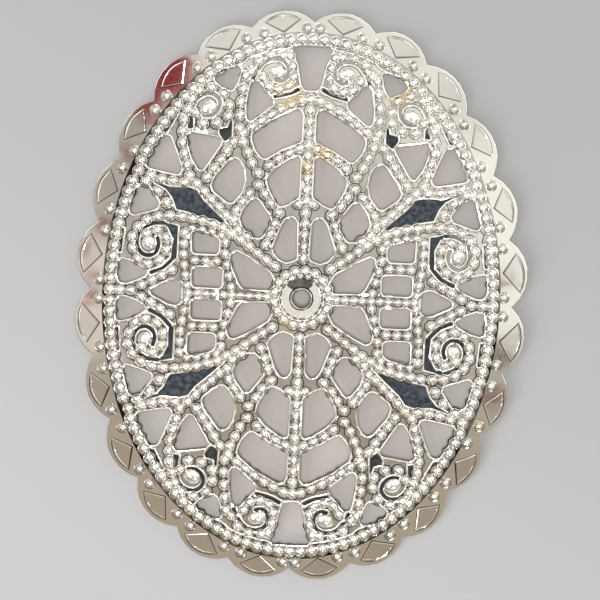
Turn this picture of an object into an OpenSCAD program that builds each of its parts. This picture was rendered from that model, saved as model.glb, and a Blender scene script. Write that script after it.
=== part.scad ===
/* [Plate] */
// Length over the scallops, measured along Y
plate_l = 45; // [42:0.5:50]
// Radius of the shallow dome that the plate is pressed to
dome_r = 211; // [150:1:400]
// Thickness of the sheet in the rim and in the blind pockets
sheet_t = 0.4; // [0.4:0.05:0.6]
// Height of the ribs and of the bead band above the sheet
rib_h = 0.35; // [0.2:0.05:0.4]

/* [Openwork] */
// Rounding of the corners of the gaps
gap_corner_r = 0.3; // [0.15:0.05:0.35]
// Plain edge left round each gap, inside its charted line
gap_edge_w = 0.06; // [0:0.02:0.12]
// Width of the grooves that wind into the scrolls
groove_w = 0.26; // [0.2:0.02:0.35]

/* [Hub] */
// Radius of the hole in the hub
hub_hole_r = 0.67; // [0.5:0.01:0.75]
// Radius of the raised lip round the hole
hub_lip_r = 0.98; // [0.9:0.01:1.1]
// Height of the lip above the top of the ribs
hub_lip_h = 0.25; // [0.1:0.05:0.3]
// Radius of the smooth dish round the lip
hub_dish_r = 1.7; // [1.5:0.05:1.8]
// Depth of the dish below the top of the ribs
hub_dish_d = 0.2; // [0.1:0.05:0.25]

/* [Rim] */
// Half width of the inner oval that carries the ribs, along X
field_x = 15.55; // [15.4:0.05:15.7]
// Half length of the inner oval, along Y
field_y = 20.75; // [20.6:0.05:20.9]
// Radius of the single beads beside the notches
rim_bead_r = 0.42; // [0.35:0.01:0.45]
// Height of a single bead's centre above the sheet
rim_bead_lift = 0.08; // [0.08:0.01:0.15]
// Height of the flat petal in each scallop above the sheet
petal_h = 0.18; // [0.1:0.02:0.25]
// Width of the border between a petal and the edge of its scallop
petal_border = 0.26; // [0.2:0.02:0.5]

/* [Hidden] */

// The tables below are charted in millimetres for a plate of this length
chart_l = 45;
chart_scale = plate_l / chart_l;
// Steps of the arc of a scallop, of a petal and of the inner oval
scallop_steps = 7;
petal_steps = 6;
// Steps of a groove's middle line from one charted point to the next
groove_steps = 3;
oval_steps = 96;
// Sides of a full turn where a gap's corners are rounded
corner_steps = 12;
// Half the height of the cutting shapes, well past both faces of the plate
through = 4;
// Farthest point of the scallops from the middle, and of the shells of the dome
reach = 22.62 * chart_scale;
shell_reach = reach + 1;
// Height of the dome's centre that puts the scallop tips on the ground
centre_z = -sqrt(dome_r * dome_r - reach * reach);
rib_top = sheet_t + rib_h;
lip_top = rib_top + hub_lip_h;
dish_floor = rib_top - hub_dish_d;
// The gaps on an axis reach this far over it, so that their halves join
join = 0.01;
// The hollows grow by this much, so that those that touch become one
merge = 0.001;

// Gaps of one quarter that go right through. Columns: place, corners [x, y] in turn
GAPS = [
    ["spine, inner", [[0.45, 3.0], [0.55, 5.9], [0.9, 6.35], [1.4, 6.3], [1.8, 5.75], [2.55, 3.65],
        [2.0, 3.0], [1.35, 2.7]]],
    ["spine, middle", [[0.5, 7.9], [0.5, 10.95], [0.8, 11.2], [1.3, 11.0], [2.5, 10.15], [3.2, 9.3],
        [3.05, 8.6], [2.35, 7.3], [2.0, 7.05], [1.3, 7.35]]],
    ["spine, outer", [[0.5, 12.2], [0.5, 14.35], [0.75, 14.85], [1.25, 14.8], [3.1, 13.85],
        [4.45, 12.75], [4.5, 12.25], [4.2, 11.45], [3.6, 10.75], [3.25, 10.8], [2.0, 11.6]]],
    ["star, inner", [[3.75, 7.65], [4.2, 7.7], [4.95, 6.7], [5.15, 6.0], [4.9, 5.3], [4.1, 4.55],
        [3.4, 4.55], [3.0, 5.0], [2.55, 5.8], [2.8, 6.4]]],
    ["star, outer", [[5.3, 10.55], [5.75, 10.8], [6.15, 10.6], [7.25, 9.2], [7.5, 8.5], [7.3, 8.05],
        [6.15, 7.2], [5.7, 7.2], [5.0, 8.1], [4.8, 9.0], [4.95, 9.95]]],
    ["hub side", [[2.1, 1.1], [2.55, 1.95], [4.2, 3.0], [5.25, 3.5], [5.65, 3.3], [5.8, 2.6],
        [5.0, 0.9], [4.65, 0.5], [2.4, 0.45]]],
    ["ladder, lower", [[6.25, 0.45], [6.25, 2.1], [8.7, 2.1], [8.7, 0.45]]],
    ["ladder, upper", [[6.6, 3.1], [6.6, 4.25], [6.95, 4.55], [8.45, 5.0], [8.85, 4.85], [8.8, 3.1]]],
    ["fork", [[12.15, 1.25], [12.25, 1.65], [13.3, 2.25], [14.25, 2.5], [14.6, 2.3], [14.65, 1.2],
        [14.45, 0.55], [13.85, 0.5], [12.9, 0.85]]],
    ["beside the tail", [[12.95, 8.45], [13.45, 8.0], [13.9, 6.3], [13.6, 5.85], [11.55, 6.5],
        [11.45, 6.95], [12.35, 8.25]]],
    ["ring side, lower", [[10.8, 12.2], [11.5, 12.35], [12.25, 11.2], [12.9, 10.2], [12.5, 9.65],
        [11.0, 9.35], [10.05, 9.2], [9.75, 9.6], [10.3, 11.0]]],
    ["ring side, upper", [[6.9, 12.3], [9.3, 12.65], [9.7, 12.2], [9.15, 10.6], [8.55, 9.65],
        [8.15, 9.65], [7.3, 11.0], [6.75, 11.9]]],
    ["heart side", [[4.1, 16.85], [4.55, 16.95], [4.8, 16.5], [5.05, 15.0], [5.0, 13.85],
        [4.6, 13.6], [2.9, 15.0], [2.9, 15.45]]],
    ["under the ring", [[5.45, 17.6], [5.7, 18.0], [6.5, 17.85], [7.4, 17.35], [7.75, 16.9],
        [7.45, 16.55], [6.8, 16.05], [6.1, 15.95], [5.75, 16.6]]],
];

// Gaps that lie across an axis, one half of each. Columns: place, corners [x, y]
AXIS_GAPS = [
    ["heart, on Y", [[-join, 19.8], [1.4, 19.8], [1.7, 19.4], [1.15, 18.2], [0.85, 16.8],
        [0.6, 16.25], [-join, 16.25]]],
    ["dart, on X", [[9.4, -join], [9.4, 0.85], [9.9, 1.05], [10.45, 0.95], [11.9, 0.25],
        [12.0, -join]]],
];

// Blind pockets of one quarter, down to the sheet. Columns: place, corners [x, y]
POCKETS = [
    ["leaf", [[5.5, 4.85], [6.9, 5.85], [8.4, 6.1], [9.2, 6.4], [10.1, 6.55], [10.45, 7.45],
        [11.0, 8.1], [12.2, 8.7], [10.7, 8.2], [9.2, 8.25], [8.6, 8.05], [8.1, 7.35], [6.6, 6.0]]],
    ["corner of the side scroll", [[9.95, 2.7], [10.35, 2.6], [10.25, 4.2], [10.7, 5.1],
        [11.2, 5.5], [9.95, 5.2]]],
    ["foot of the upper scroll", [[6.05, 12.35], [6.6, 12.05], [7.0, 12.6], [7.0, 12.95],
        [6.35, 13.1], [6.1, 13.9]]],
    ["edge of the upper scroll", [[9.1, 12.95], [9.5, 12.9], [9.5, 13.8], [9.2, 14.2]]],
    ["wedge by the ring", [[11.1, 12.6], [11.5, 12.5], [11.3, 13.0], [10.6, 14.2], [10.3, 14.1]]],
    ["wedge by the end scroll", [[4.45, 17.0], [4.75, 16.95], [4.4, 17.75], [4.0, 18.1]]],
];

// Grooves of one quarter, down to the sheet. Columns: place, points [x, y] along the middle
GROOVES = [
    ["side scroll", [[11.55, 4.3], [11.4, 3.7], [11.6, 3.1], [12.15, 2.8], [12.75, 3.0],
        [13.1, 3.6], [13.05, 4.35], [12.6, 4.95], [11.9, 5.35], [11.0, 5.4]]],
    ["upper scroll", [[8.4, 14.0], [7.75, 13.98], [7.2, 14.45], [7.1, 15.15], [7.6, 15.65],
        [8.35, 15.65], [8.95, 15.2], [9.25, 14.5], [9.35, 13.7]]],
    ["end scroll", [[2.9, 17.05], [2.3, 16.95], [1.85, 17.4], [1.85, 18.05], [2.3, 18.55],
        [3.0, 18.65], [3.7, 18.4], [4.2, 17.8]]],
    ["edge of the heart", [[0.9, 16.4], [1.7, 16.0], [2.9, 15.7]]],
    ["inside the ring, end", [[1.8, 19.75], [3.4, 19.45], [5.0, 18.85], [5.6, 18.35], [7.4, 17.75]]],
    ["inside the ring, corner", [[7.9, 17.1], [8.8, 16.45]]],
    ["inside the ring, side", [[14.3, 4.8], [14.45, 3.0]]],
    ["below the side scroll", [[10.2, 2.7], [11.0, 1.9], [12.0, 1.45]]],
];

// Scallops of one quarter, from the end of the plate to its side. Columns: crest, first and
// last tip of the petal, point of the petal, notch after the scallop, all as [x, y]
SCALLOPS = [
    [[2.45, 22.5], [1.0, 21.85], [3.9, 21.45], [2.3, 20.7], [4.85, 21.05]],
    [[7.35, 20.9], [5.7, 20.8], [8.45, 19.3], [6.5, 19.1], [9.0, 18.75]],
    [[11.3, 17.8], [9.9, 18.25], [11.8, 15.95], [10.0, 16.3], [12.3, 14.95]],
    [[14.25, 13.65], [13.0, 14.35], [14.5, 11.75], [12.75, 12.45], [14.7, 10.3]],
    [[16.4, 8.7], [15.4, 9.45], [16.35, 6.65], [14.75, 7.75], [16.2, 5.3]],
    [[17.75, 3.1], [16.75, 4.35], [17.25, 1.15], [15.75, 2.7], [16.65, 0]],
];
first_notch = [0, 21.7];

// Single beads of one quarter, beside the notches, as [x, y]
RIM_BEADS = [
    [0.5, 21.15], [3.85, 20.55], [5.2, 20.1], [7.95, 18.6], [9.0, 17.65], [11.3, 15.35],
    [12.15, 14.2], [13.65, 10.95], [14.55, 9.55], [15.35, 6.3], [15.65, 4.6], [15.95, 0.75],
];

function unit(v) = v / norm(v);
function left_of(v) = [-v[1], v[0]];
function angle_of(v) = atan2(v[1], v[0]);
// Centre of the circle through three points
function circle_centre(a, m, b) =
    let (d = 2 * (a[0] * (m[1] - b[1]) + m[0] * (b[1] - a[1]) + b[0] * (a[1] - m[1])))
    [(a * a) * (m[1] - b[1]) + (m * m) * (b[1] - a[1]) + (b * b) * (a[1] - m[1]),
     (a * a) * (b[0] - m[0]) + (m * m) * (a[0] - b[0]) + (b * b) * (m[0] - a[0])] / d;
// Points of the clockwise arc from a through m to b, without a itself
function arc_through(a, m, b, steps) =
    let (c = circle_centre(a, m, b), r = norm(a - c), from = angle_of(a - c),
        sweep = (from - angle_of(b - c) + 720) % 360)
    [for (i = [1:steps]) let (t = from - sweep * i / steps) c + r * [cos(t), sin(t)]];
// Points of a smooth line through the given points
function smooth_line(points, steps) =
    let (last = len(points) - 1)
    concat([for (i = [0:last - 1])
        let (a = points[max(i - 1, 0)], b = points[i], c = points[i + 1], d = points[min(i + 2, last)])
        for (k = [0:steps - 1])
            let (t = k / steps)
            b + (c - a) * t / 2 + (2 * a - 5 * b + 4 * c - d) * t * t / 2
                + (3 * b - a - 3 * c + d) * t * t * t / 2],
        [points[last]]);
// Both sides of a strip of constant width along some points
function strip(points, width) =
    let (last = len(points) - 1,
        side = [for (i = [0:last])
            left_of(unit(points[min(i + 1, last)] - points[max(i - 1, 0)])) * width / 2])
    concat([for (i = [0:last]) points[i] + side[i]],
        [for (i = [last:-1:0]) points[i] - side[i]]);

// Outline of the scallops over one quarter, then over the right half, then all round
quarter_line = concat([first_notch], [for (i = [0:len(SCALLOPS) - 1])
    each arc_through(i == 0 ? first_notch : SCALLOPS[i - 1][4], SCALLOPS[i][0], SCALLOPS[i][4],
        scallop_steps)]);
half_line = concat(quarter_line,
    [for (i = [len(quarter_line) - 2:-1:0]) [quarter_line[i][0], -quarter_line[i][1]]]);
whole_line = concat(half_line,
    [for (i = [len(half_line) - 2:-1:1]) [-half_line[i][0], half_line[i][1]]]);

// Ring-shaped shell of the dome between two heights above its underside
module shell(low, high) {
    translate([0, 0, centre_z])
        rotate_extrude($fn = 200)
            intersection() {
                difference() {
                    circle(r = dome_r + high, $fn = 400);
                    circle(r = dome_r + low, $fn = 400);
                }
                translate([hub_hole_r, 0])
                    square([shell_reach - hub_hole_r, dome_r + through]);
            }
}

// The part of a shell that lies over a flat outline
module pressed(low, high) {
    intersection() {
        shell(low, high);
        upright() children();
    }
}

module upright() {
    translate([0, 0, -through])
        linear_extrude(2 * through)
            children();
}

module patch(points) {
    polygon([for (p = points) p * chart_scale]);
}

module four_ways() {
    for (fx = [0, 1], fy = [0, 1])
        mirror([fx, 0, 0])
            mirror([0, fy, 0])
                children();
}

module oval() {
    patch([for (i = [0:oval_steps - 1]) let (a = 360 * i / oval_steps)
        [field_x * cos(a), field_y * sin(a)]]);
}

module gaps() {
    offset(r = gap_corner_r, $fn = corner_steps)
        offset(delta = -gap_corner_r - gap_edge_w)
            four_ways() {
                for (g = GAPS)
                    patch(g[1]);
                for (g = AXIS_GAPS)
                    patch(g[1]);
            }
}

module hollows() {
    offset(delta = merge)
        four_ways() {
            for (p = POCKETS)
                patch(p[1]);
            for (g = GROOVES)
                patch(strip(smooth_line(g[1], groove_steps), groove_w));
        }
}

module petal(scallop) {
    crest = scallop[0];
    first = scallop[1];
    last = scallop[2];
    inner_crest = crest * (1 - petal_border / norm(crest));
    patch(concat([first], arc_through(first, inner_crest, last, petal_steps), [scallop[3]]));
}

module petals() {
    four_ways()
        for (s = SCALLOPS)
            petal(s);
}

module rim_beads() {
    level = dome_r + sheet_t + rim_bead_lift;
    four_ways()
        for (b = RIM_BEADS)
            let (p = b * chart_scale)
                translate([p[0], p[1], centre_z + sqrt(level * level - p * p)])
                    sphere(r = rim_bead_r, $fn = 48);
}

module hub_lip() {
    pressed(0, lip_top)
        circle(r = hub_lip_r, $fn = 64);
}

module hub_dish() {
    pressed(dish_floor, lip_top)
        difference() {
            circle(r = hub_dish_r, $fn = 64);
            circle(r = hub_lip_r, $fn = 64);
        }
}

module filigree_plate() {
    color("silver")
        difference() {
            union() {
                pressed(0, sheet_t)
                    patch(whole_line);
                pressed(0, rib_top)
                    oval();
                pressed(0, sheet_t + petal_h)
                    petals();
                hub_lip();
                rim_beads();
            }
            hub_dish();
            pressed(sheet_t, lip_top)
                hollows();
            upright()
                gaps();
        }
}

filigree_plate();
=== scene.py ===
"""Looks of an oval filigree flower charm: a pierced, beaded plate, stamped and silver plated.

The shapes are modelled flat, in millimetres, with the height above the underside as Z. Each piece
is then pressed to the shallow dome of the plate and brought to metres.
"""

import math

import bmesh
import bpy
from mathutils import Matrix, Vector


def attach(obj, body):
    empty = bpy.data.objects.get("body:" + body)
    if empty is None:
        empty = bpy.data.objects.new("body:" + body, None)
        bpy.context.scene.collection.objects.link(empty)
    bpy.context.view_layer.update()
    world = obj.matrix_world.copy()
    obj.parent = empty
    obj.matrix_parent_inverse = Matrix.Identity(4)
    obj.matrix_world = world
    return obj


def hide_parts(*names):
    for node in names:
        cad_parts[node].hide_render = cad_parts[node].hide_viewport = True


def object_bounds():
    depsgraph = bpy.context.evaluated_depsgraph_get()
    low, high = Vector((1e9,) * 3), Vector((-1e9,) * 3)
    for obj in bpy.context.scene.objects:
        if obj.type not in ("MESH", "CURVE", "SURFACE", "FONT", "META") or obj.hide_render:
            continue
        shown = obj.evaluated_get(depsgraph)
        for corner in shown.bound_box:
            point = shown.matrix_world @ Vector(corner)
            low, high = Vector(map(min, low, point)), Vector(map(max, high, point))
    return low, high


bl_info = {
    "name": "Filigree flower charm",
    "version": (1, 0, 0),
    "blender": (4, 5, 0),
    "location": "View3D > Sidebar > Charm",
    "description": "Models the beaded filigree plate of an oval flower charm and its studio",
    "category": "Object",
}

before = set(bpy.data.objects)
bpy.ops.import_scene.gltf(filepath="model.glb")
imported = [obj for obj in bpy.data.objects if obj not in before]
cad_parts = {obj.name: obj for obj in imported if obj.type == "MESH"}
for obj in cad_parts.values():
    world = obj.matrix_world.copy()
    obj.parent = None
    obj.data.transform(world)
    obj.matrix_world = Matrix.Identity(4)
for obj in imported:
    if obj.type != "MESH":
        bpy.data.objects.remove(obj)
cad_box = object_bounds()

MM = 0.001
PLATE_NODE = "filigree_plate"

# Heights of the frame's plate above its underside, in millimetres, and how far a point may be off one
UNDERSIDE = 0.0
LEVEL_TOLERANCE = 0.004
PETAL_TOP = 0.58
RIB_TOP = 0.75
LIP_TOP = 1.0

# Bead rows of one quarter, mirrored to the other three. Columns: place, bead radius, points [x, y]
BEAD_ROWS = [
    ("diagonal rib", 0.42, [(2.2, 2.4), (2.8, 2.8), (4.8, 4.25), (6.4, 5.25), (8.0, 5.75), (9.7, 6.0)]),
    ("side scroll, back", 0.42,
        [(9.7, 6.0), (11.3, 6.0), (12.7, 5.5), (13.45, 4.6), (13.5, 3.5), (13.0, 2.5)]),
    ("side scroll, coil", 0.42,
        [(12.2, 2.15), (11.3, 2.45), (10.75, 3.2), (10.7, 4.0), (11.1, 4.7), (11.8, 4.9), (12.4, 4.5)]),
    ("above the ladder", 0.3, [(6.5, 4.65), (7.6, 5.0), (8.8, 5.1)]),
    ("inside of the star", 0.42,
        [(3.0, 4.1), (2.4, 5.6), (2.25, 6.6), (3.4, 8.3), (4.4, 10.5), (5.1, 12.0)]),
    ("across the star", 0.41,
        [(3.9, 8.65), (4.7, 7.8), (5.4, 6.7), (5.6, 5.9), (5.25, 5.2), (4.5, 4.65)]),
    ("spine branch, inner", 0.4, [(0.6, 7.4), (1.9, 6.65)]),
    ("spine branch, outer", 0.42, [(0.7, 11.75), (2.3, 10.9), (3.7, 9.7)]),
    ("arch", 0.42, [(0.7, 15.5), (2.5, 14.6), (4.0, 13.6), (5.2, 12.7)]),
    ("before the ladder", 0.37, [(5.55, 0.6), (5.85, 1.9), (6.15, 3.1), (6.15, 4.1)]),
    ("ladder rung", 0.36, [(6.8, 2.6), (8.5, 2.6)]),
    ("behind the ladder", 0.37, [(9.05, 0.55), (9.25, 1.7), (9.4, 3.0), (9.4, 4.7)]),
    ("fork", 0.4, [(10.3, 1.75), (11.3, 1.2), (12.3, 0.6), (13.1, 0.25), (14.3, 0.1)]),
    ("upper side of the leaf", 0.42, [(6.2, 6.25), (7.8, 7.8), (9.2, 9.2)]),
    ("between the ring gaps", 0.43,
        [(9.2, 9.2), (9.6, 10.6), (9.9, 11.9), (9.9, 13.2), (9.6, 14.3), (9.3, 15.2)]),
    ("star to upper scroll", 0.42, [(7.85, 9.15), (6.8, 10.6), (5.9, 12.0)]),
    ("above the leaf", 0.42, [(9.6, 8.65), (11.2, 8.8), (13.1, 9.4)]),
    ("tail of the leaf", 0.42, [(10.9, 7.0), (11.4, 7.7), (12.6, 8.6)]),
    ("beside the heart", 0.42, [(5.45, 13.1), (5.5, 14.6), (5.3, 16.4), (5.2, 17.2)]),
    ("end scroll, side", 0.42, [(1.75, 18.9), (1.5, 18.1), (1.4, 17.3), (1.55, 16.7), (2.1, 16.35),
        (2.8, 16.2), (3.45, 16.5), (3.8, 17.1)]),
    ("end scroll, top", 0.4, [(2.3, 18.95), (3.1, 19.0), (3.8, 18.75), (4.4, 18.2), (4.75, 17.6)]),
    ("upper scroll, foot", 0.42, [(6.4, 14.0), (6.95, 13.5), (7.75, 13.3), (8.6, 13.35), (8.95, 14.1)]),
    ("upper scroll, crown", 0.42, [(6.35, 14.85), (6.6, 15.6), (7.3, 16.1), (8.1, 16.2), (8.8, 15.85)]),
]

# Rows that lie on an axis, one half of each. Columns: place, bead radius, first and last point
AXIS_ROWS = [
    ("spine", 0.43, [(0, 3.15), (0, 15.6)]),
    ("side rib", 0.34, [(2.75, 0), (8.9, 0)]),
]

# The oval ring round the field: half width and half length
OVAL_RING = (15.1, 20.3)

# The crease along the ring's outside, painted dark by the bead plating with patina and painted shade: its
# nearest and furthest reach from the ring's middle line, the height of its underside, and how far it stands
# above the sheet
CREASE_REACH = (0.3, 0.61)
CREASE_BOTTOM = 0.3
CREASE_RISE = 0.03

# Closed rows round the middle. Columns: place, bead radius, half width, half length
CLOSED_ROWS = [
    ("hub ring", 0.42, 2.15, 2.15),
    ("oval ring", 0.44, *OVAL_RING),
]

# Points on a closed row or band
OVAL_STEPS = 180

# Length and width of a bead against its radius, in the closed rows and in the others
CLOSED_ROW_STRETCH = (1.0, 1.05)
OPEN_ROW_STRETCH = (1.06, 0.93)

# Least and greatest size of a bead against its row's, and the distance below which two become one
BEAD_SIZE_RANGE = (0.98, 1.07)
BEAD_SIZE_SEED = 7
BEAD_MERGE = 0.45

# Single beads of one quarter, in the rim beside the notches
RIM_BEADS = [
    (0.5, 21.15), (3.85, 20.55), (5.2, 20.1), (7.95, 18.6), (9.0, 17.65), (11.3, 15.35),
    (12.15, 14.2), (13.65, 10.95), (14.55, 9.55), (15.35, 6.3), (15.65, 4.6), (15.95, 0.75),
]

# Half profile of a bead of radius 1 in a row, with a bright skirt round its foot and a lower one that is
# painted dark with patina and painted shade
BEAD_PROFILE = [(0, 0.86), (0.42, 0.76), (0.75, 0.46), (0.94, 0.1), (0.99, -0.06), (1.1, -0.07),
                (1.12, -0.15), (1.34, -0.15), (1.34, -0.4)]
BEAD_SEGMENTS = 8

# Half profile of a single bead of radius 1 in the rim, with a crease and a fine flange round its foot
RIM_BEAD_PROFILE = [(0, 0.9), (0.42, 0.79), (0.74, 0.45), (0.88, 0), (0.95, -0.15), (1.08, 0),
                    (1.18, -0.15), (1.28, -0.15), (1.28, -0.4)]
RIM_BEAD_SEGMENTS = 16

# Half profile of a smooth bulb of radius 1
BULB_PROFILE = [(0, 1), (0.3, 0.95), (0.56, 0.83), (0.78, 0.63), (0.93, 0.37), (1, 0.08), (1, -0.4)]
BULB_SEGMENTS = 24

# Smooth bulbs at the ends of the scrolls of one quarter. Columns: x, y, half length, half width, degrees
SCROLL_BULBS = [
    (12.15, 3.8, 0.6, 0.52, 60),
    (7.95, 14.55, 0.72, 0.56, 155),
    (2.7, 17.65, 0.7, 0.52, 15),
]

# Half section of the hub from the hole outwards: distance from the axis and height. It goes up over the
# lip, down into the dish and out to the dish's wall. The close pairs keep the dish's floor flat.
HUB_PROFILE = [(0.66, 0.05), (0.66, 0.66), (0.69, 0.8), (0.74, 0.89), (0.79, 0.93), (0.83, 0.9),
               (0.85, 0.8), (0.86, 0.6), (0.87, 0.52), (0.93, 0.52), (0.95, 0.55), (0.97, 0.55),
               (1.3, 0.55), (1.54, 0.55), (1.56, 0.55), (1.58, 0.53), (1.6, 0.45), (1.6, 0.05)]
HUB_SEGMENTS = 72

# Half width and half length of the oval that holds the pockets, and the radius of the hub, which has none
POCKET_OVAL = (15.4, 20.6)
HUB_RADIUS = 2

# Heights, inside the sheet, of the underside of the pocket floors and of the ground and the petals
POCKET_BOTTOM = 0.3
FACE_BOTTOM = 0.1

# The square grid that the sheet is cut along: its step, and its reach along X and Y
GRID_STEP = 2
GRID_REACH = (18, 22)

# Places where the brass shows through the plating, on the whole plate. Columns: x, y, radius
BRASS_SPOTS = [
    (0.0, 10.3, 0.45), (1.3, 11.5, 0.8), (-1.7, 15.8, 0.9), (6.9, 16.3, 0.9), (14.5, -9.6, 0.35),
    (-1.0, -2.1, 0.4),
]

# Middles of the scrolls whose grooves are painted paler, as painted light, on the whole plate
LIT_SCROLLS = [(7.9, 14.6), (2.6, 17.6), (-2.6, 17.6), (-7.9, 14.9), (12.2, 3.9)]

# Middle of the leaf-shaped pocket of one quarter, at its height in the dome
LEAF_MIDDLE = (9.6, 6.9, 1.2)

# Heights at which the brass spots and the scrolls with painted light are measured
BRASS_HEIGHT = 1.2
SCROLL_HEIGHT = 1.0

# Paler colour of the grooves in those scrolls: painted light
LIT_GROOVE = (0.11, 0.105, 0.095)

# Way along which painted light halves the patina and painted shade towards the top right, and where along
# it that starts and ends
PAINTED_LIGHT_WAY = (0.5, 0.87, 0)
PAINTED_LIGHT_RANGE = (6, 18)

# Dark patch in the hub's dish, above the hole: its middle and half size
HUB_DARK_PATCH = (-0.2, 1.2, 1.1, 0.62)

# Signs of X and Y in the four quarters
QUARTERS = [(1, 1), (-1, 1), (-1, -1), (1, -1)]

# The room round the charm, as the metal mirrors it
ROOM_COLOUR = (0.47, 0.44, 0.395)

# Light and dark patches of the room, where a later one covers an earlier one. Columns: lean of the patch
# from upright to the right and to the top in degrees, radius, soft edge, colour
ROOM_PATCHES = [
    (42, 40, 30, 10, (1.4, 1.38, 1.32)),
    (-45, -45, 26, 12, (0.17, 0.15, 0.12)),
    (-38, 24, 16, 8, (1.35, 1.32, 1.26)),
    (0, -62, 24, 8, (0.42, 0.37, 0.3)),
    (-4, 50, 11, 5, (1.3, 1.28, 1.22)),
    (-47, 3, 10, 4, (1.3, 1.28, 1.22)),
    (2, -40, 14, 6, (0.36, 0.31, 0.25)),
    (-1, -19, 12, 7, (0.42, 0.355, 0.275)),
    (3, 18, 9, 8, (0.86, 0.84, 0.78)),
    (14, 1, 5, 5, (0.97, 0.95, 0.88)),
    (-26, -18, 5, 2, (0.03, 0.025, 0.02)),
    (24, -22, 5, 2, (0.03, 0.025, 0.02)),
    (17, 24, 4, 2, (0.05, 0.045, 0.04)),
    (-14.6, -4.5, 3.3, 1.5, (0.77, 0.69, 0.63)),
    (-9.1, 10.7, 1.65, 0.2, (0.28, 0.015, 0.025)),
    (-10.5, 8.5, 1.0, 0.4, (0.26, 0.02, 0.03)),
    (-11.4, 5.1, 0.45, 0.15, (0.24, 0.035, 0.035)),
    (-12.9, 0.1, 0.45, 0.15, (0.24, 0.035, 0.035)),
    (-14.3, -1.5, 0.3, 0.2, (0.24, 0.035, 0.035)),
    (-13.6, -3.2, 0.3, 0.2, (0.24, 0.035, 0.035)),
    (-13.6, -4.5, 0.4, 0.2, (0.24, 0.035, 0.035)),
    (13.8, -2.4, 0.6, 0.15, (0.3, 0.17, 0.13)),
    (13.9, -7.3, 0.6, 0.15, (0.12, 0.08, 0.06)),
    (13.6, -10.0, 0.6, 0.15, (0.24, 0.09, 0.08)),
    (0.4, -4.1, 2.6, 1.5, (1.05, 1.02, 0.96)),
]

# Lamps of the studio. Columns: name, lean from upright to the right and to the top in degrees, side,
# power in watts, what it lights
STUDIO_LAMPS = [
    ("key_lamp", -30, -14, 0.09, 0.9, "all"),
    ("lower_lamp", 16, -38, 0.09, 0.6, "metal"),
    ("right_lamp", 30, 8, 0.09, 0.7, "metal"),
    ("upper_lamp", -8, 30, 0.09, 0.8, "metal"),
    ("overhead_lamp", -2, 1, 0.13, 9.0, "floor"),
    ("side_lamp", -42, -40, 0.4, 8.0, "floor"),
]
LAMP_DISTANCE = 0.6

# Colours of the pale floor: painted light at the lower left, painted shade at the upper right, and painted
# warm bounce light under the charm
FLOOR_PAINTED_LIT = (0.144, 0.143, 0.143)
FLOOR_PAINTED_DIM = (0.117, 0.117, 0.118)
FLOOR_PAINTED_BOUNCE = (0.158, 0.146, 0.136)

# Way along which the floor's painted shade darkens it, and half the length over which it does, in metres
FLOOR_FADE_WAY = (0.32, 0.95, 0)
FLOOR_FADE = 0.03

# Half width and half length of the floor's oval of painted bounce light under the charm, in metres
FLOOR_OVAL = (0.0166, 0.0213)

# The point that the camera looks at, in metres
CAMERA_TARGET = (-0.00009, -0.00016, 0.0012)


class CharmSizes(bpy.types.PropertyGroup):
    """Sizes of the relief, in millimetres of the real plate"""

    dome_r: bpy.props.FloatProperty(
        name="Dome radius", description="Radius of the dome, in millimetres", default=211.0, min=100.0)
    sheet_t: bpy.props.FloatProperty(
        name="Sheet", description="Thickness of the plain sheet, in millimetres", default=0.4, min=0.1)
    floor_h: bpy.props.FloatProperty(
        name="Ground", description="Height of the ground between the beads, in millimetres",
        default=0.42, min=0.1)
    sheet_edge: bpy.props.FloatProperty(
        name="Sheet edge", description="Rounding of the sheet's edges, in millimetres",
        default=0.07, min=0.01)
    line_w: bpy.props.FloatProperty(
        name="Edge line", description="Width of the raised line round each gap, in millimetres",
        default=0.2, min=0.02)
    bead_h: bpy.props.FloatProperty(
        name="Bead height", description="Height of a bead's centre, in millimetres", default=0.5, min=0.1)
    petal_slope: bpy.props.FloatProperty(
        name="Petal slope", description="Width of the slope round a petal, in millimetres",
        default=0.16, min=0.02)
    rim_bead_r: bpy.props.FloatProperty(
        name="Rim bead", description="Radius of a single bead in the rim, in millimetres",
        default=0.37, min=0.1)


class CharmFinishes(bpy.types.PropertyGroup):
    """Colours of the plating, of its patina and painted shade, and of the brass below it"""

    silver: bpy.props.FloatVectorProperty(
        name="Silver", description="Colour of the silver plating", subtype="COLOR", size=3, min=0, max=1,
        default=(0.92, 0.905, 0.87))
    # One dark colour for the patina in the hollows and for the painted shade in creases and on steep sides.
    tarnish_and_shade: bpy.props.FloatVectorProperty(
        name="Tarnish", description="Colour of the tarnish between the beads", subtype="COLOR", size=3,
        min=0, max=1, default=(0.03, 0.025, 0.021))
    slate: bpy.props.FloatVectorProperty(
        name="Slate", description="Colour of the blackened pockets", subtype="COLOR", size=3, min=0, max=1,
        default=(0.022, 0.028, 0.037))
    brass: bpy.props.FloatVectorProperty(
        name="Brass", description="Colour of the brass below the plating", subtype="COLOR", size=3,
        min=0, max=1, default=(0.8, 0.68, 0.42))


class StudioSetup(bpy.types.PropertyGroup):
    """Camera and floor of the studio"""

    camera_distance: bpy.props.FloatProperty(
        name="Camera distance", description="From the camera to the middle of the charm", default=0.18,
        min=0.05, unit="LENGTH")
    camera_lean: bpy.props.FloatProperty(
        name="Camera lean", description="Angle from upright towards the top of the charm",
        default=math.radians(4.11), subtype="ANGLE")
    camera_side: bpy.props.FloatProperty(
        name="Camera side lean", description="Angle from upright towards the right",
        default=math.radians(-0.42), subtype="ANGLE")
    camera_turn: bpy.props.FloatProperty(
        name="Camera turn", description="Turn of the picture", default=math.radians(2.717), subtype="ANGLE")
    lens: bpy.props.FloatProperty(
        name="Lens", description="Focal length of the camera, in millimetres", default=137.08, min=10.0)
    floor_size: bpy.props.FloatProperty(
        name="Floor", description="Side of the square floor", default=2.0, min=0.2, unit="LENGTH")


# Helpers


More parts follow.
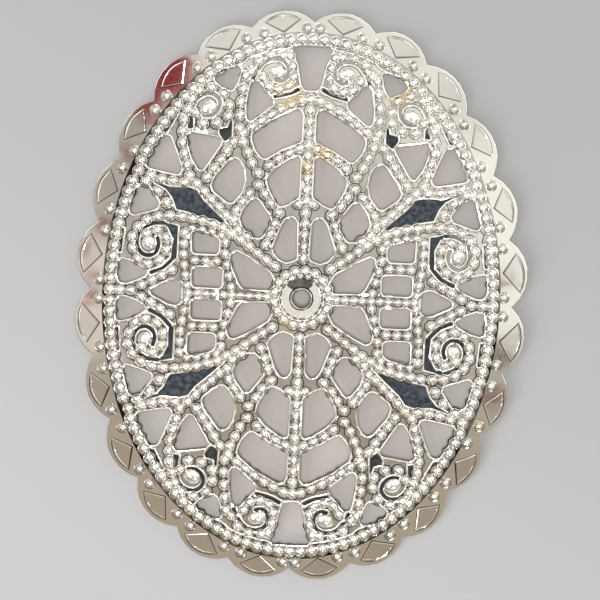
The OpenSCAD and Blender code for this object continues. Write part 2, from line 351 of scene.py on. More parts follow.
def sizes():
    return bpy.context.scene.charm_sizes


def finishes():
    return bpy.context.scene.charm_finishes


def select_only(piece):
    bpy.ops.object.select_all(action="DESELECT")
    piece.select_set(True)
    bpy.context.view_layer.objects.active = piece


def dome_centre():
    """Height of the dome's centre in millimetres, from the top of the hub in the frame."""
    return cad_box[1].z / MM - LIP_TOP - sizes().dome_r


def level_of(point):
    """Height of a point above the underside of the dome, in millimetres."""
    return (point - Vector((0, 0, dome_centre()))).length - sizes().dome_r


def new_piece(name, mesh):
    piece = bpy.data.objects.new(name, mesh)
    bpy.context.scene.collection.objects.link(piece)
    select_only(piece)
    return piece


def press_to_dome(piece):
    """Presses a piece that was modelled flat to the dome, and brings it to metres."""
    centre = dome_centre()
    radius = sizes().dome_r
    for vertex in piece.data.vertices:
        x, y, level = vertex.co
        vertex.co.z = centre + math.sqrt((radius + level) ** 2 - x * x - y * y)
    piece.data.transform(Matrix.Scale(MM, 4))
    piece.data.update()


def finish_piece(piece, material, smooth_angle=35):
    """Presses the piece, shades it, and hands it to the plate's body."""
    press_to_dome(piece)
    select_only(piece)
    piece.data.materials.clear()
    piece.data.materials.append(material)
    bpy.ops.object.shade_smooth_by_angle(angle=math.radians(smooth_angle))
    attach(piece, "root")


def clean_up():
    """Merges doubled points of the active piece and turns its faces outwards."""
    bpy.ops.object.mode_set(mode="EDIT")
    bpy.ops.mesh.select_all(action="SELECT")
    bpy.ops.mesh.remove_doubles(threshold=0.001)
    bpy.ops.mesh.normals_make_consistent(inside=False)
    bpy.ops.object.mode_set(mode="OBJECT")


def frame_faces(name, level, keep=lambda point: True):
    """The faces of the frame's plate at one height, laid flat and facing up, in millimetres."""
    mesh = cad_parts[PLATE_NODE].data.copy()
    mesh.transform(Matrix.Scale(1 / MM, 4))
    piece = new_piece(name, mesh)
    bpy.ops.mesh.customdata_custom_splitnormals_clear()
    bpy.ops.object.mode_set(mode="EDIT")
    bpy.ops.mesh.select_mode(type="FACE")
    bpy.ops.mesh.select_all(action="SELECT")
    bpy.ops.mesh.remove_doubles(threshold=0.0005)
    shape = bmesh.from_edit_mesh(mesh)
    at_level = {v: abs(level_of(v.co) - level) < LEVEL_TOLERANCE and keep(v.co) for v in shape.verts}
    for face in shape.faces:
        level_face = abs(face.normal.z) > 0.9
        face.select = not (level_face and all(at_level[v] for v in face.verts))
    bmesh.update_edit_mesh(mesh)
    bpy.ops.mesh.delete(type="FACE")
    shape = bmesh.from_edit_mesh(mesh)
    for vertex in shape.verts:
        vertex.co.z = 0
    shape.normal_update()
    for face in shape.faces:
        face.select = face.normal.z < 0
    bmesh.update_edit_mesh(mesh)
    bpy.ops.mesh.flip_normals()
    bpy.ops.object.mode_set(mode="OBJECT")
    return piece


def make_whole(piece):
    """Makes large faces of the frame's small triangles, so that insets stay clean."""
    select_only(piece)
    bpy.ops.object.mode_set(mode="EDIT")
    bpy.ops.mesh.select_all(action="SELECT")
    bpy.ops.mesh.dissolve_limited(angle_limit=math.radians(0.5))
    bpy.ops.object.mode_set(mode="OBJECT")


def thicken(piece, bottom, top, borders):
    """Makes flat faces a closed plate, and works a profile into its top along all edges.

    The borders go from the edge inwards. Each is a width and a rise, in millimetres.
    """
    select_only(piece)
    bpy.ops.object.mode_set(mode="EDIT")
    bpy.ops.mesh.select_mode(type="FACE")
    bpy.ops.mesh.select_all(action="SELECT")
    bpy.ops.transform.translate(value=(0, 0, bottom))
    bpy.ops.mesh.extrude_region_move(TRANSFORM_OT_translate={"value": (0, 0, top - bottom)})
    for width, rise in borders:
        bpy.ops.mesh.inset(thickness=width, depth=rise, use_even_offset=False)
    bpy.ops.object.mode_set(mode="OBJECT")


def divide(piece):
    """Cuts a flat piece along a square grid, so that its large faces can follow the dome."""
    select_only(piece)
    bpy.ops.object.mode_set(mode="EDIT")
    for axis, reach in zip(((1, 0, 0), (0, 1, 0)), GRID_REACH):
        for cut in range(-reach, reach + 1, GRID_STEP):
            bpy.ops.mesh.select_all(action="SELECT")
            bpy.ops.mesh.bisect(plane_co=[cut * a for a in axis], plane_no=axis)
    bpy.ops.object.mode_set(mode="OBJECT")


# Materials


def add_node(tree, kind, **values):
    """A shader node, with properties by name and sockets by number or name."""
    node = tree.nodes.new(kind)
    sockets = values.pop("sockets", {})
    for key, value in values.items():
        setattr(node, key, value)
    for key, value in sockets.items():
        node.inputs[key].default_value = value
    return node


def level_node(tree, place):
    """Height of a point above the underside of the dome, in metres."""
    centre = add_node(tree, "ShaderNodeVectorMath", operation="DISTANCE",
                      sockets={1: (0, 0, dome_centre() * MM)})
    tree.links.new(place, centre.inputs[0])
    level = add_node(tree, "ShaderNodeMath", operation="SUBTRACT", sockets={1: sizes().dome_r * MM})
    tree.links.new(centre.outputs["Value"], level.inputs[0])
    return level.outputs[0]


def ramp_node(tree, value, low, high, at_low=0.0, at_high=1.0):
    """A value taken smoothly from one range to another."""
    node = add_node(tree, "ShaderNodeMapRange", interpolation_type="SMOOTHSTEP",
                    sockets={"From Min": low, "From Max": high, "To Min": at_low, "To Max": at_high})
    tree.links.new(value, node.inputs["Value"])
    return node.outputs["Result"]


def math_node(tree, operation, first, second):
    """The result of an operation on two values or sockets, kept between 0 and 1."""
    node = add_node(tree, "ShaderNodeMath", operation=operation, use_clamp=True)
    for socket, value in ((0, first), (1, second)):
        if isinstance(value, (int, float)):
            node.inputs[socket].default_value = value
        else:
            tree.links.new(value, node.inputs[socket])
    return node.outputs[0]


def noise_node(tree, place, grain_mm, detail=3.0):
    """Cloudy noise whose clouds are about this wide, in millimetres."""
    node = add_node(tree, "ShaderNodeTexNoise", sockets={"Scale": 1 / (grain_mm * MM), "Detail": detail})
    tree.links.new(place, node.inputs["Vector"])
    return node.outputs["Fac"]


def mix_node(tree, factor, first, second):
    """First colour where the factor is 0, second where it is 1."""
    node = add_node(tree, "ShaderNodeMix", data_type="RGBA")
    tree.links.new(factor, node.inputs["Factor"])
    for socket, value in ((6, first), (7, second)):
        if isinstance(value, bpy.types.NodeSocket):
            tree.links.new(value, node.inputs[socket])
        else:
            node.inputs[socket].default_value = (*value, 1)
    return node.outputs[2]


def brass_mask(tree, place):
    """1 where the brass shows through the plating."""
    total = None
    for x, y, radius in BRASS_SPOTS:
        spot = add_node(tree, "ShaderNodeVectorMath", operation="DISTANCE",
                        sockets={1: (x * MM, y * MM, BRASS_HEIGHT * MM)})
        tree.links.new(place, spot.inputs[0])
        mask = ramp_node(tree, spot.outputs["Value"], radius * 0.5 * MM, (radius + 0.7) * MM, 1, 0)
        total = mask if total is None else math_node(tree, "MAXIMUM", total, mask)
    return total


def dark_patch_mask(tree, place, dark_patch):
    """Near 1 in a mottled, oval dark patch low in the relief, given as its middle and half size."""
    x, y, half_width, half_length = dark_patch
    shift = add_node(tree, "ShaderNodeVectorMath", operation="SUBTRACT", sockets={1: (x * MM, y * MM, 0)})
    tree.links.new(place, shift.inputs[0])
    scale = add_node(tree, "ShaderNodeVectorMath", operation="MULTIPLY",
                     sockets={1: (1 / (half_width * MM), 1 / (half_length * MM), 0)})
    tree.links.new(shift.outputs["Vector"], scale.inputs[0])
    reach = add_node(tree, "ShaderNodeVectorMath", operation="LENGTH")
    tree.links.new(scale.outputs["Vector"], reach.inputs[0])
    low = ramp_node(tree, level_node(tree, place), 0.6 * MM, 0.7 * MM, at_low=1, at_high=0)
    mottle = ramp_node(tree, noise_node(tree, place, 0.4), 0.35, 0.65, at_low=0.8, at_high=0.93)
    near = ramp_node(tree, reach.outputs["Value"], 0.9, 1.0, at_low=1, at_high=0)
    inside = math_node(tree, "MULTIPLY", near, low)
    return math_node(tree, "MULTIPLY", inside, mottle)


def silver_plate(name, ground_mm, crest_mm, tarnish_and_shade_share, roughness=0.2, dent_mm=0.018, grain_share=0.12,
                 tone=1.0, dark_patch=None):
    """Silver plating, bright on its crests, darkened low in the relief by patina and painted shade, and on
    its steep sides by painted shade.
    """
    material = bpy.data.materials.new(name)
    material.use_nodes = True
    tree = material.node_tree
    tree.nodes.clear()
    place = add_node(tree, "ShaderNodeTexCoord").outputs["Object"]
    level = level_node(tree, place)
    # Darker low in the relief: partly patina in the hollows, partly painted shade in the creases between
    # beads and rows.
    low = ramp_node(tree, level, ground_mm * MM, crest_mm * MM, at_low=tarnish_and_shade_share, at_high=0)
    clouds = ramp_node(tree, noise_node(tree, place, 1.6), 0.35, 0.65, at_low=0.8, at_high=1)
    # Painted light: the darkening of the low places is halved towards the top right, as if more light fell
    # there.
    upward = add_node(tree, "ShaderNodeVectorMath", operation="DOT_PRODUCT", sockets={1: PAINTED_LIGHT_WAY})
    tree.links.new(place, upward.inputs[0])
    start, end = PAINTED_LIGHT_RANGE
    painted_light_ease = ramp_node(tree, upward.outputs["Value"], start * MM, end * MM, at_low=1, at_high=0.5)
    tarnish_and_shade = math_node(tree, "MULTIPLY", math_node(tree, "MULTIPLY", low, clouds), painted_light_ease)
    # Painted shade: steep sides, such as gap walls and the flanks of beads, are darkened by how far they
    # turn from upright.
    facing = add_node(tree, "ShaderNodeSeparateXYZ")
    tree.links.new(add_node(tree, "ShaderNodeNewGeometry").outputs["Normal"], facing.inputs[0])
    upright = math_node(tree, "ABSOLUTE", facing.outputs["Z"], 0.0)
    wall_shade = ramp_node(tree, upright, 0.15, 0.5, at_low=0.85, at_high=0)
    tarnish_and_shade = math_node(tree, "MAXIMUM", tarnish_and_shade, wall_shade)
    if dark_patch:
        tarnish_and_shade = math_node(tree, "MAXIMUM", tarnish_and_shade, dark_patch_mask(tree, place, dark_patch))
    worn = ramp_node(tree, noise_node(tree, place, 0.35), 0.4, 0.6, at_low=0.15, at_high=0.75)
    brass = math_node(tree, "MULTIPLY", brass_mask(tree, place), worn)
    patches = ramp_node(tree, noise_node(tree, place, 3.5, 2.0), 0.4, 0.7)
    silver = [c * tone for c in finishes().silver]
    dull_silver = [c * tone * 0.93 for c in finishes().silver]
    bright = mix_node(tree, patches, silver, dull_silver)
    colour = mix_node(tree, tarnish_and_shade, bright, finishes().tarnish_and_shade)
    colour = mix_node(tree, brass, colour, finishes().brass)
    grain = noise_node(tree, place, 0.18, 4.0)
    dents = noise_node(tree, place, 1.3, 1.0)
    soft_bump = add_node(tree, "ShaderNodeBump", sockets={"Strength": 1.0, "Distance": dent_mm * MM})
    tree.links.new(dents, soft_bump.inputs["Height"])
    shader = add_node(tree, "ShaderNodeBsdfPrincipled", sockets={"Metallic": 1.0})
    rough = ramp_node(tree, grain, 0.3, 0.7, roughness * 0.85, roughness * 1.2)
    bump = add_node(tree, "ShaderNodeBump", sockets={"Strength": grain_share, "Distance": 0.02 * MM})
    output = add_node(tree, "ShaderNodeOutputMaterial")
    tree.links.new(colour, shader.inputs["Base Color"])
    tree.links.new(rough, shader.inputs["Roughness"])
    tree.links.new(grain, bump.inputs["Height"])
    tree.links.new(soft_bump.outputs["Normal"], bump.inputs["Normal"])
    tree.links.new(bump.outputs["Normal"], shader.inputs["Normal"])
    tree.links.new(shader.outputs["BSDF"], output.inputs["Surface"])
    return material


def blackened_pocket(name):
    """Mottled black of the blind pockets, bluer in the leaves, and painted paler in some scrolls of the
    upper half as painted light.
    """
    material = bpy.data.materials.new(name)
    material.use_nodes = True
    tree = material.node_tree
    tree.nodes.clear()
    place = add_node(tree, "ShaderNodeTexCoord").outputs["Object"]
    mottle = ramp_node(tree, noise_node(tree, place, 0.35, 5.0), 0.35, 0.7)
    slate = finishes().slate
    brown = finishes().tarnish_and_shade
    blue = mix_node(tree, mottle, [c * 0.15 for c in slate], [c * 0.9 for c in slate])
    dark = mix_node(tree, mottle, [c * 0.06 for c in brown], [c * 0.4 for c in brown])
    folded = add_node(tree, "ShaderNodeVectorMath", operation="ABSOLUTE")
    tree.links.new(place, folded.inputs[0])
    leaf = add_node(tree, "ShaderNodeVectorMath", operation="DISTANCE",
                    sockets={1: [c * MM for c in LEAF_MIDDLE]})
    tree.links.new(folded.outputs["Vector"], leaf.inputs[0])
    in_leaf = ramp_node(tree, leaf.outputs["Value"], 2.6 * MM, 3.4 * MM, at_low=1, at_high=0.4)
    colour = mix_node(tree, in_leaf, dark, blue)
    # Painted light: a mask that makes the grooves paler in these scrolls of the upper half.
    clean = None
    for x, y in LIT_SCROLLS:
        scroll = add_node(tree, "ShaderNodeVectorMath", operation="DISTANCE",
                          sockets={1: (x * MM, y * MM, SCROLL_HEIGHT * MM)})
        tree.links.new(place, scroll.inputs[0])
        share = ramp_node(tree, scroll.outputs["Value"], 1.3 * MM, 1.9 * MM, at_low=1, at_high=0)
        clean = share if clean is None else math_node(tree, "MAXIMUM", clean, share)
    colour = mix_node(tree, clean, colour, LIT_GROOVE)
    shader = add_node(tree, "ShaderNodeBsdfPrincipled",
                      sockets={"Roughness": 0.55, "Specular IOR Level": 0.3})
    bump = add_node(tree, "ShaderNodeBump", sockets={"Strength": 0.6, "Distance": 0.03 * MM})
    output = add_node(tree, "ShaderNodeOutputMaterial")
    tree.links.new(colour, shader.inputs["Base Color"])
    tree.links.new(mottle, bump.inputs["Height"])
    tree.links.new(bump.outputs["Normal"], shader.inputs["Normal"])
    tree.links.new(shader.outputs["BSDF"], output.inputs["Surface"])
    return material


# Pieces


class CHARM_OT_stamped_sheet(bpy.types.Operator):
    """Models the pierced sheet with its scalloped edge"""

    bl_idname = "charm.stamped_sheet"
    bl_label = "Stamped sheet"

    def execute(self, context):
        sheet = frame_faces("stamped_sheet", UNDERSIDE)
        make_whole(sheet)
        edge = sizes().sheet_edge
        rounding = [(edge * 0.4, edge * 0.7), (edge * 0.6, edge * 0.3), (0.04, 0.0)]
        thicken(sheet, UNDERSIDE, sizes().sheet_t - edge, rounding)
        divide(sheet)
        plating = silver_plate("rim_silver", ground_mm=-0.2, crest_mm=-0.1, tarnish_and_shade_share=0.0,
                               roughness=0.06, dent_mm=0.003, grain_share=0.0)
        finish_piece(sheet, plating, smooth_angle=12)
        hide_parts(PLATE_NODE)
        return {"FINISHED"}


class CHARM_OT_oval_ground(bpy.types.Operator):
    """Models the ground of the ribs, with its blind pockets and scroll grooves"""

    bl_idname = "charm.oval_ground"
    bl_label = "Oval ground"

    def execute(self, context):
        ground = frame_faces("oval_ground", RIB_TOP)
        line = sizes().line_w / 3
        raised_line = [(0.02, 0.1), (line, 0.03), (line, -0.03), (line, -0.1)]
        thicken(ground, FACE_BOTTOM, sizes().floor_h, raised_line)
        below_sheet = sizes().sheet_t - 0.03
        for vertex in ground.data.vertices:
            if not in_oval(vertex.co, *OVAL_RING):
                vertex.co.z = min(vertex.co.z, below_sheet)
        plating = silver_plate("ground_silver", ground_mm=0.45, crest_mm=0.51, tarnish_and_shade_share=0.3)
        finish_piece(ground, plating)
        return {"FINISHED"}


class CHARM_OT_pocket_floors(bpy.types.Operator):
    """Models the blackened floors of the blind pockets and grooves"""

    bl_idname = "charm.pocket_floors"
    bl_label = "Pocket floors"

    def execute(self, context):
        def among_ribs(point):
            return in_oval(point, *POCKET_OVAL) and point.xy.length > HUB_RADIUS

        floors = frame_faces("pocket_floors", sizes().sheet_t, among_ribs)
        thicken(floors, POCKET_BOTTOM, sizes().sheet_t + 0.02, [])
        finish_piece(floors, blackened_pocket("blackened_pocket"))
        return {"FINISHED"}


class CHARM_OT_petals(bpy.types.Operator):
    """Models the raised petals of the scalloped edge"""

    bl_idname = "charm.petals"
    bl_label = "Petals"

    def execute(self, context):
        petals = frame_faces("petals", PETAL_TOP)
        make_whole(petals)
        slope = sizes().petal_slope / 3
        foot = PETAL_TOP - 0.16
        ridge = [(0.05, 0.0), (slope * 0.8, 0.12), (slope * 1.4, 0.016), (slope * 0.8, -0.046), (0.03, 0.0)]
        thicken(petals, FACE_BOTTOM, foot, ridge)
        # Painted shade: the petals are a darker copy of the silver (tone 0.9), and their foot is darkened
        # by patina and painted shade.
        plating = silver_plate("petal_silver", ground_mm=0.435, crest_mm=0.47, tarnish_and_shade_share=0.95,
                               roughness=0.06, dent_mm=0.003, grain_share=0.0, tone=0.9)
        finish_piece(petals, plating, smooth_angle=12)
        return {"FINISHED"}


class CHARM_OT_bead_rows(bpy.types.Operator):
    """Lays the rows of beads along the ribs, the hub and the oval ring, and the crease outside the ring"""

    bl_idname = "charm.bead_rows"
    bl_label = "Bead rows"

    def execute(self, context):
        bead = turned_model("bead_model", BEAD_PROFILE, BEAD_SEGMENTS)
        rows = row_lines("bead_rows")
        rows.modifiers.new("beads", "NODES").node_group = bead_node_group(bead)
        select_only(rows)
        bpy.ops.object.modifier_apply(modifier="beads")
        bpy.data.objects.remove(bead)
        for vertex in rows.data.vertices:
            vertex.co.z += sizes().bead_h
        closed_band("ring_crease", OVAL_RING, CREASE_REACH, (CREASE_BOTTOM, sizes().sheet_t + CREASE_RISE))
        rows.select_set(True)
        bpy.context.view_layer.objects.active = rows
        bpy.ops.object.join()
        # The lower skirts and the crease lie below the ground level, so they are painted fully dark: patina
        # and painted shade.
        plating = silver_plate("bead_silver", ground_mm=0.452, crest_mm=0.464, tarnish_and_shade_share=1.0,
                               roughness=0.17)
        finish_piece(rows, plating, smooth_angle=60)
        return {"FINISHED"}


class CHARM_OT_rim_beads(bpy.types.Operator):
    """Sets the single beads into the rim"""

    bl_idname = "charm.rim_beads"
    bl_label = "Rim beads"

    def execute(self, context):
        model = turned_model("rim_bead_model", RIM_BEAD_PROFILE, RIM_BEAD_SEGMENTS)
        copies = []
        size = [sizes().rim_bead_r] * 3
        foot = sizes().sheet_t + 0.08
        for fx, fy in QUARTERS:
            for x, y in RIM_BEADS:
                copies.append(bead_copy(model, (x * fx, y * fy, foot), size, 0))
        beads = join_copies(copies, model, "rim_beads")
        plating = silver_plate("rim_bead_silver", ground_mm=0.415, crest_mm=0.45, tarnish_and_shade_share=1.0,
                               roughness=0.15, dent_mm=0.006, grain_share=0.03)
        finish_piece(beads, plating, smooth_angle=60)
        return {"FINISHED"}


class CHARM_OT_scroll_bulbs(bpy.types.Operator):
    """Sets the smooth bulbs into the scrolls"""

    bl_idname = "charm.scroll_bulbs"
    bl_label = "Scroll bulbs"

    def execute(self, context):
        model = turned_model("bulb_model", BULB_PROFILE, BULB_SEGMENTS)
        copies = []
        foot = sizes().floor_h + 0.08
        for fx, fy in QUARTERS:
            for x, y, half_length, half_width, turn in SCROLL_BULBS:
                size = (half_length, half_width, half_width * 0.75)
                copies.append(bead_copy(model, (x * fx, y * fy, foot), size, turn * fx * fy))
        bulbs = join_copies(copies, model, "scroll_bulbs")
        plating = silver_plate("bulb_silver", ground_mm=0.3, crest_mm=0.4, tarnish_and_shade_share=0.5,
                               roughness=0.28, dent_mm=0.004, grain_share=0.02)
        finish_piece(bulbs, plating, smooth_angle=60)
        return {"FINISHED"}


class CHARM_OT_hub(bpy.types.Operator):
    """Turns the hub with its dish and the lip round the hole"""

    bl_idname = "charm.hub"
    bl_label = "Hub"

    def execute(self, context):
        mesh = bpy.data.meshes.new("hub")
        points = [(r, 0, z) for r, z in HUB_PROFILE]
        edges = [(i, (i + 1) % len(points)) for i in range(len(points))]
        mesh.from_pydata(points, edges, [])
        hub = new_piece("hub", mesh)
        bpy.ops.object.mode_set(mode="EDIT")
        bpy.ops.mesh.select_all(action="SELECT")
        bpy.ops.mesh.spin(steps=HUB_SEGMENTS, angle=2 * math.pi, center=(0, 0, 0), axis=(0, 0, 1))
        bpy.ops.object.mode_set(mode="OBJECT")
        clean_up()
        plating = silver_plate("hub_silver", ground_mm=0.525, crest_mm=0.54, tarnish_and_shade_share=0.9,
                               roughness=0.14, dent_mm=0.006, grain_share=0.05, dark_patch=HUB_DARK_PATCH)
        finish_piece(hub, plating, smooth_angle=60)
        return {"FINISHED"}


def in_oval(point, half_width, half_length):
    """True where a point lies inside an upright oval round the middle."""
    return (point.x / half_width) ** 2 + (point.y / half_length) ** 2 < 1


def turned_model(name, profile, segments):
    """A round form turned from its half profile, closed below by one flat face."""
    mesh = bpy.data.meshes.new(name)
    mesh.from_pydata([(x, 0, z) for x, z in profile], [(i, i + 1) for i in range(len(profile) - 1)], [])
    model = new_piece(name, mesh)
    bpy.ops.object.mode_set(mode="EDIT")
    bpy.ops.mesh.select_all(action="SELECT")
    bpy.ops.mesh.spin(steps=segments, angle=2 * math.pi, center=(0, 0, 0), axis=(0, 0, 1))
    bpy.ops.mesh.select_all(action="SELECT")
    bpy.ops.mesh.remove_doubles(threshold=0.001)
    bpy.ops.mesh.select_all(action="DESELECT")
    bpy.ops.mesh.select_mode(type="EDGE")
    bpy.ops.mesh.select_non_manifold()
    bpy.ops.mesh.edge_face_add()
    bpy.ops.object.mode_set(mode="OBJECT")
    clean_up()
    return model


def oval_points(half_width, half_length):
    """Points round an oval, from its right end to the left over the top and back."""
    turns = [2 * math.pi * i / OVAL_STEPS for i in range(OVAL_STEPS)]
    return [(half_width * math.cos(t), half_length * math.sin(t)) for t in turns]


def closed_band(name, oval, reaches, levels):
    """A flat band round an oval, between two reaches from it and two levels, closed on all sides."""
    inner, outer = reaches
    bottom, top = levels
    points = []
    faces = []
    for corner, (reach, level) in enumerate(((inner, bottom), (outer, bottom), (outer, top), (inner, top))):
        here = corner * OVAL_STEPS
        beyond = (corner + 1) % 4 * OVAL_STEPS
        points.extend((x, y, level) for x, y in oval_points(oval[0] + reach, oval[1] + reach))
        for i in range(OVAL_STEPS):
            following = (i + 1) % OVAL_STEPS
            faces.append((here + i, here + following, beyond + following, beyond + i))
    mesh = bpy.data.meshes.new(name)
    mesh.from_pydata(points, [], faces)
    band = new_piece(name, mesh)
    clean_up()
    return band


def join_copies(copies, model, name):
    """Joins the copies to one piece and takes their model away."""
    bpy.data.objects.remove(model)
    bpy.ops.object.select_all(action="DESELECT")
    for copy in copies:
        copy.select_set(True)
    bpy.context.view_layer.objects.active = copies[0]
    bpy.ops.object.join()
    bpy.context.object.name = name
    return bpy.context.object


def bead_copy(model, place, size, turn):
    """A copy of a model at its own place, stretched and turned."""
    copy = new_piece(model.name + "_copy", model.data.copy())
    stretch = Matrix.Diagonal((*size, 1))
    copy.data.transform(Matrix.Translation(place) @ Matrix.Rotation(math.radians(turn), 4, "Z") @ stretch)
    return copy


def row_lines(name):
    """The middle lines of all bead rows, with the bead's radius and its size on each point."""
    points = []
    radii = []
    spans = []
    edges = []

    def lay(row, radius, closed=False):
        first = len(points)
        points.extend((x, y, 0) for x, y in row)
        radii.extend([radius] * len(row))
        along, across = CLOSED_ROW_STRETCH if closed else OPEN_ROW_STRETCH
        spans.extend((radius * along, radius * across, radius) * len(row))
        edges.extend((i, i + 1) for i in range(first, len(points) - 1))
        if closed:
            edges.append((len(points) - 1, first))

    for _, radius, row in BEAD_ROWS:
        for fx, fy in QUARTERS:
            lay([(x * fx, y * fy) for x, y in row], radius)
    for _, radius, row in AXIS_ROWS:
        for side in (1, -1):
            lay([(x * side, y * side) for x, y in row], radius)
    for _, radius, half_width, half_length in CLOSED_ROWS:
        lay(oval_points(half_width, half_length), radius, closed=True)
    mesh = bpy.data.meshes.new(name)
    mesh.from_pydata(points, edges, [])
    mesh.attributes.new("bead_radius", "FLOAT", "POINT").data.foreach_set("value", radii)
    mesh.attributes.new("bead_size", "FLOAT_VECTOR", "POINT").data.foreach_set("vector", spans)
    return new_piece(name, mesh)


def bead_node_group(bead):
    """Geometry nodes that set a bead at every bead's width along the rows."""
    group = bpy.data.node_groups.new("bead_rows", "GeometryNodeTree")
    group.interface.new_socket("Geometry", in_out="INPUT", socket_type="NodeSocketGeometry")
    group.interface.new_socket("Geometry", in_out="OUTPUT", socket_type="NodeSocketGeometry")
    add = group.nodes.new
    link = group.links.new
    rows = add("NodeGroupInput")
    to_curve = add("GeometryNodeMeshToCurve")
    radius = add("GeometryNodeInputNamedAttribute")
    radius.data_type = "FLOAT"
    radius.inputs["Name"].default_value = "bead_radius"
    width = add("ShaderNodeMath")
    width.operation = "MULTIPLY"
    width.inputs[1].default_value = 2.0
    resample = add("GeometryNodeResampleCurve")
    resample.mode = "LENGTH"
    to_points = add("GeometryNodeCurveToPoints")
    to_points.mode = "EVALUATED"
    merge = add("GeometryNodeMergeByDistance")
    merge.inputs["Distance"].default_value = BEAD_MERGE
    vary = add("FunctionNodeRandomValue")
    vary.data_type = "FLOAT"
    vary.inputs[2].default_value, vary.inputs[3].default_value = BEAD_SIZE_RANGE
    vary.inputs["Seed"].default_value = BEAD_SIZE_SEED
    size = add("GeometryNodeInputNamedAttribute")
    size.data_type = "FLOAT_VECTOR"
    size.inputs["Name"].default_value = "bead_size"
    along = add("FunctionNodeAlignRotationToVector")
    along.axis = "X"
    along.pivot_axis = "Z"
    stretch = add("ShaderNodeVectorMath")
    stretch.operation = "SCALE"
    info = add("GeometryNodeObjectInfo")
    info.inputs["Object"].default_value = bead
    place = add("GeometryNodeInstanceOnPoints")
    realize = add("GeometryNodeRealizeInstances")
    result = add("NodeGroupOutput")
    link(rows.outputs[0], to_curve.inputs["Mesh"])
    link(to_curve.outputs["Curve"], resample.inputs["Curve"])
    link(radius.outputs["Attribute"], width.inputs[0])
    link(width.outputs[0], resample.inputs["Length"])
    link(resample.outputs["Curve"], to_points.inputs["Curve"])
    link(to_points.outputs["Points"], merge.inputs["Geometry"])
    link(merge.outputs["Geometry"], place.inputs["Points"])
    link(info.outputs["Geometry"], place.inputs["Instance"])
    link(size.outputs["Attribute"], stretch.inputs[0])
    link(vary.outputs[1], stretch.inputs["Scale"])
    link(stretch.outputs[0], place.inputs["Scale"])
    link(to_points.outputs["Tangent"], along.inputs["Vector"])
    link(along.outputs["Rotation"], place.inputs["Rotation"])
    link(place.outputs["Instances"], realize.inputs["Geometry"])
    link(realize.outputs["Geometry"], result.inputs[0])
    return group


# Stage


class CHARM_OT_stage(bpy.types.Operator):
    """Lays the pale floor and sets up the studio light and the camera"""

    bl_idname = "charm.stage"
    bl_label = "Studio"

    def execute(self, context):
        make_floor()
        make_world()
        make_lights()
        make_camera()
        context.scene.view_settings.view_transform = "Standard"
        return {"FINISHED"}


def make_floor():
    """A pale floor with painted shade towards the upper right and painted warm bounce light under the
    charm.
    """
    bpy.ops.object.select_all(action="DESELECT")
    bpy.ops.mesh.primitive_plane_add(size=bpy.context.scene.charm_studio.floor_size)
    floor = bpy.context.object
    floor.name = "floor"
    material = bpy.data.materials.new("pale_floor")
    material.use_nodes = True
    tree = material.node_tree
    shader = tree.nodes["Principled BSDF"]
    shader.inputs["Roughness"].default_value = 0.65
    place = add_node(tree, "ShaderNodeTexCoord").outputs["Object"]
    upward = add_node(tree, "ShaderNodeVectorMath", operation="DOT_PRODUCT", sockets={1: FLOOR_FADE_WAY})
    tree.links.new(place, upward.inputs[0])
    # Painted light and shade: the floor is lighter at the lower left and darker at the upper right.
    far = ramp_node(tree, upward.outputs["Value"], -FLOOR_FADE, FLOOR_FADE)
    colour = mix_node(tree, far, FLOOR_PAINTED_LIT, FLOOR_PAINTED_DIM)
    # Painted light: warm bounce light from the charm's back, in an oval under it.
    below = add_node(tree, "ShaderNodeVectorMath", operation="MULTIPLY",
                     sockets={1: (1 / FLOOR_OVAL[0], 1 / FLOOR_OVAL[1], 0)})
    tree.links.new(place, below.inputs[0])
    reach = add_node(tree, "ShaderNodeVectorMath", operation="LENGTH")
    tree.links.new(below.outputs["Vector"], reach.inputs[0])
    under = ramp_node(tree, reach.outputs["Value"], 0.8, 1.0, at_low=1, at_high=0)
    colour = mix_node(tree, under, colour, FLOOR_PAINTED_BOUNCE)
    tree.links.new(colour, shader.inputs["Base Color"])
    floor.data.materials.append(material)


def leaning_way(lean_x, lean_y):
    """The way from the charm that leans this many degrees to the right and to the top."""
    x, y = math.sin(math.radians(lean_x)), math.sin(math.radians(lean_y))
    return Vector((x, y, math.sqrt(1 - x * x - y * y)))


def make_world():
    """A room of one soft tone, with the light, dark, red and brown patches that the metal mirrors."""
    world = bpy.data.worlds.new("studio")
    bpy.context.scene.world = world
    world.use_nodes = True
    tree = world.node_tree
    tree.nodes.clear()
    way = add_node(tree, "ShaderNodeTexCoord").outputs["Generated"]
    colour = ROOM_COLOUR
    for lean_x, lean_y, radius, soft, patch_colour in ROOM_PATCHES:
        patch = add_node(tree, "ShaderNodeVectorMath", operation="DISTANCE",
                         sockets={1: leaning_way(lean_x, lean_y)})
        tree.links.new(way, patch.inputs[0])
        inner, outer = math.radians(radius), math.radians(radius + soft)
        share = ramp_node(tree, patch.outputs["Value"], inner, outer, at_low=1, at_high=0)
        colour = mix_node(tree, share, colour, patch_colour)
    light = add_node(tree, "ShaderNodeBackground", sockets={"Strength": 1.0})
    output = add_node(tree, "ShaderNodeOutputWorld")
    tree.links.new(colour, light.inputs["Color"])
    tree.links.new(light.outputs["Background"], output.inputs["Surface"])


def make_lights():
    """Soft lamps round the camera. Some show in glossy surfaces alone, and some light dull ones alone."""
    for name, lean_x, lean_y, side, power, lights in STUDIO_LAMPS:
        lamp = add_area_lamp(name, leaning_way(lean_x, lean_y) * LAMP_DISTANCE, side, power)
        lamp.visible_diffuse = lights != "metal"
        lamp.visible_glossy = lights != "floor"


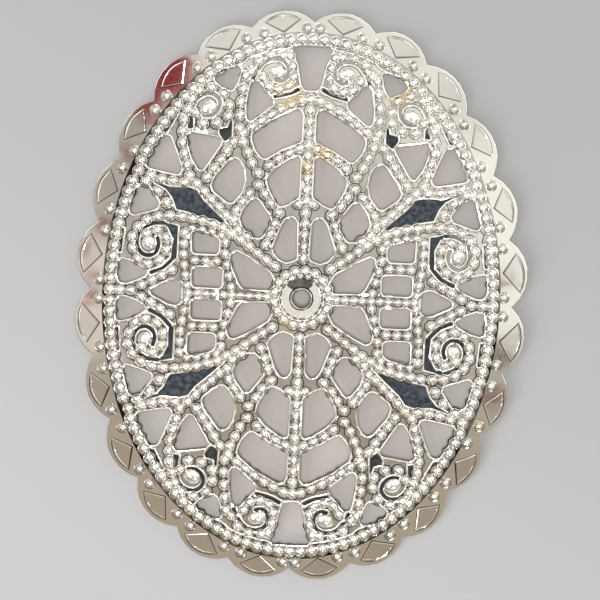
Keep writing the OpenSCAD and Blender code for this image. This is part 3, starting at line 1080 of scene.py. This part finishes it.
def add_area_lamp(name, place, side, power):
    """A square lamp that faces the middle of the charm."""
    data = bpy.data.lights.new(name, "AREA")
    data.size = side
    data.energy = power
    light = bpy.data.objects.new(name, data)
    bpy.context.scene.collection.objects.link(light)
    light.matrix_world = Matrix.Translation(place) @ place.to_track_quat("Z", "Y").to_matrix().to_4x4()
    return light


def make_camera():
    """The camera looks down on the charm at the photograph's angle."""
    studio = bpy.context.scene.charm_studio
    data = bpy.data.cameras.new("camera")
    data.lens = studio.lens
    data.clip_start = 0.01
    camera = bpy.data.objects.new("camera", data)
    bpy.context.scene.collection.objects.link(camera)
    back = Vector((math.sin(studio.camera_side), math.sin(studio.camera_lean), 0))
    back.z = math.sqrt(1 - back.length_squared)
    right = Vector((0, 1, 0)).cross(back).normalized()
    up = back.cross(right)
    turn = Matrix.Rotation(studio.camera_turn, 3, back)
    place = Vector(CAMERA_TARGET) + back * studio.camera_distance
    axes = Matrix((turn @ right, turn @ up, back)).transposed()
    camera.matrix_world = Matrix.Translation(place) @ axes.to_4x4()
    bpy.context.scene.camera = camera


class CHARM_PT_sidebar(bpy.types.Panel):
    """Lists the steps that make the charm"""

    bl_idname = "CHARM_PT_sidebar"
    bl_label = "Flower charm"
    bl_space_type = "VIEW_3D"
    bl_region_type = "UI"
    bl_category = "Charm"

    def draw(self, context):
        for step in STEPS:
            self.layout.operator(step.bl_idname)


STEPS = (
    CHARM_OT_stamped_sheet,
    CHARM_OT_oval_ground,
    CHARM_OT_pocket_floors,
    CHARM_OT_petals,
    CHARM_OT_bead_rows,
    CHARM_OT_rim_beads,
    CHARM_OT_scroll_bulbs,
    CHARM_OT_hub,
    CHARM_OT_stage,
)
CLASSES = (CharmSizes, CharmFinishes, StudioSetup, *STEPS, CHARM_PT_sidebar)


def register():
    for item in CLASSES:
        bpy.utils.register_class(item)
    bpy.types.Scene.charm_sizes = bpy.props.PointerProperty(type=CharmSizes)
    bpy.types.Scene.charm_finishes = bpy.props.PointerProperty(type=CharmFinishes)
    bpy.types.Scene.charm_studio = bpy.props.PointerProperty(type=StudioSetup)


def unregister():
    del bpy.types.Scene.charm_studio
    del bpy.types.Scene.charm_finishes
    del bpy.types.Scene.charm_sizes
    for item in reversed(CLASSES):
        bpy.utils.unregister_class(item)


def main():
    register()
    bpy.ops.charm.stamped_sheet()
    bpy.ops.charm.oval_ground()
    bpy.ops.charm.pocket_floors()
    bpy.ops.charm.petals()
    bpy.ops.charm.bead_rows()
    bpy.ops.charm.rim_beads()
    bpy.ops.charm.scroll_bulbs()
    bpy.ops.charm.hub()
    bpy.ops.charm.stage()


if __name__ == "__main__":
    main()
